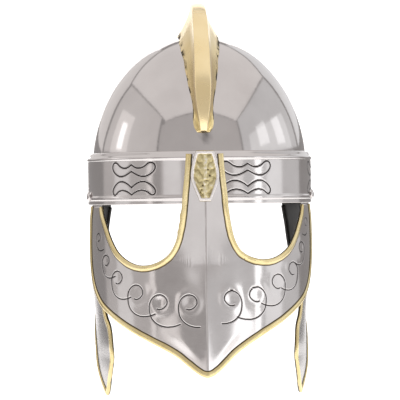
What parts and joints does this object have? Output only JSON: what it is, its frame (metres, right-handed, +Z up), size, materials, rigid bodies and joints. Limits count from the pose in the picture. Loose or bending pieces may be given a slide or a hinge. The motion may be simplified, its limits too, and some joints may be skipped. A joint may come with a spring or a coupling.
{
  "type": "crested one-piece-bowl helmet with face mask and ear flaps",
  "caption": "Steel helmet with a one-piece bowl, brow band, brass comb crest, nose-ridged face mask with eye openings, ear flaps, folded brass trim and a cast brow ornament.",
  "frame": {"origin": "centre of the head opening, just under the lower edge of the brow band, where the helmet sits on a head", "axes": "+Z up through the crest, -Y towards the face, +X towards the wearer's left"},
  "size_m": [0.2058, 0.2549, 0.3512],
  "materials": {
    "polished_steel": "polished steel outside, black paint inside",
    "crest_brass": "polished, tarnished along the base",
    "trim_brass": "polished, dark inside edge",
    "cast_pale_brass": "cast, worn bright on the rim, dull in the recesses",
    "rivet_steel": "domed and polished"
  },
  "bodies": {
    "root": {"bowl": "polished_steel", "brow_band": "polished_steel", "crest": "crest_brass", "brow_ornament": "cast_pale_brass", "face_mask": "polished_steel", "eye_trim_left": "trim_brass", "eye_trim_right": "trim_brass", "mask_edge_trim": "trim_brass", "ear_flap_left": "polished_steel", "ear_flap_right": "polished_steel", "flap_trim_left": "trim_brass", "flap_trim_right": "trim_brass", "temple_rivet_left": "rivet_steel", "temple_rivet_right": "rivet_steel", "rear_rivet_left": "rivet_steel", "rear_rivet_right": "rivet_steel"}
  },
  "joints": []
}
